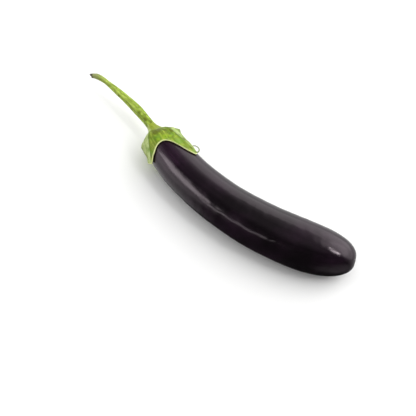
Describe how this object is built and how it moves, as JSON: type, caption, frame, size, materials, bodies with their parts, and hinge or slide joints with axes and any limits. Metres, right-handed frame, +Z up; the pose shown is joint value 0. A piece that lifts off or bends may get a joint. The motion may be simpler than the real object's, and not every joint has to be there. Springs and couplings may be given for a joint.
{
  "type": "eggplant",
  "caption": "Long slender eggplant as picked, bent to one side, with a lobed green calyx over its top and a thin curved stem; it lies on its side.",
  "frame": {"origin": "on the table plane, under the middle of the bounding box", "axes": "+X from the stem's cut end towards the fruit's blossom end, +Z up from the table the eggplant lies on, and +Y towards the inside of its bend"},
  "size_m": [0.3081, 0.0569, 0.0438],
  "materials": {
    "fruit_skin": "smooth waxy skin, purple-black, with soft broad highlights",
    "calyx_skin": "fleshy leaf, dull green with a paler edge and darker spots",
    "stem_skin": "ribbed green stem, dull, dried brown at the cut end"
  },
  "bodies": {
    "root": {"fruit": "fruit_skin", "calyx": "calyx_skin", "stem": "stem_skin"}
  },
  "joints": []
}
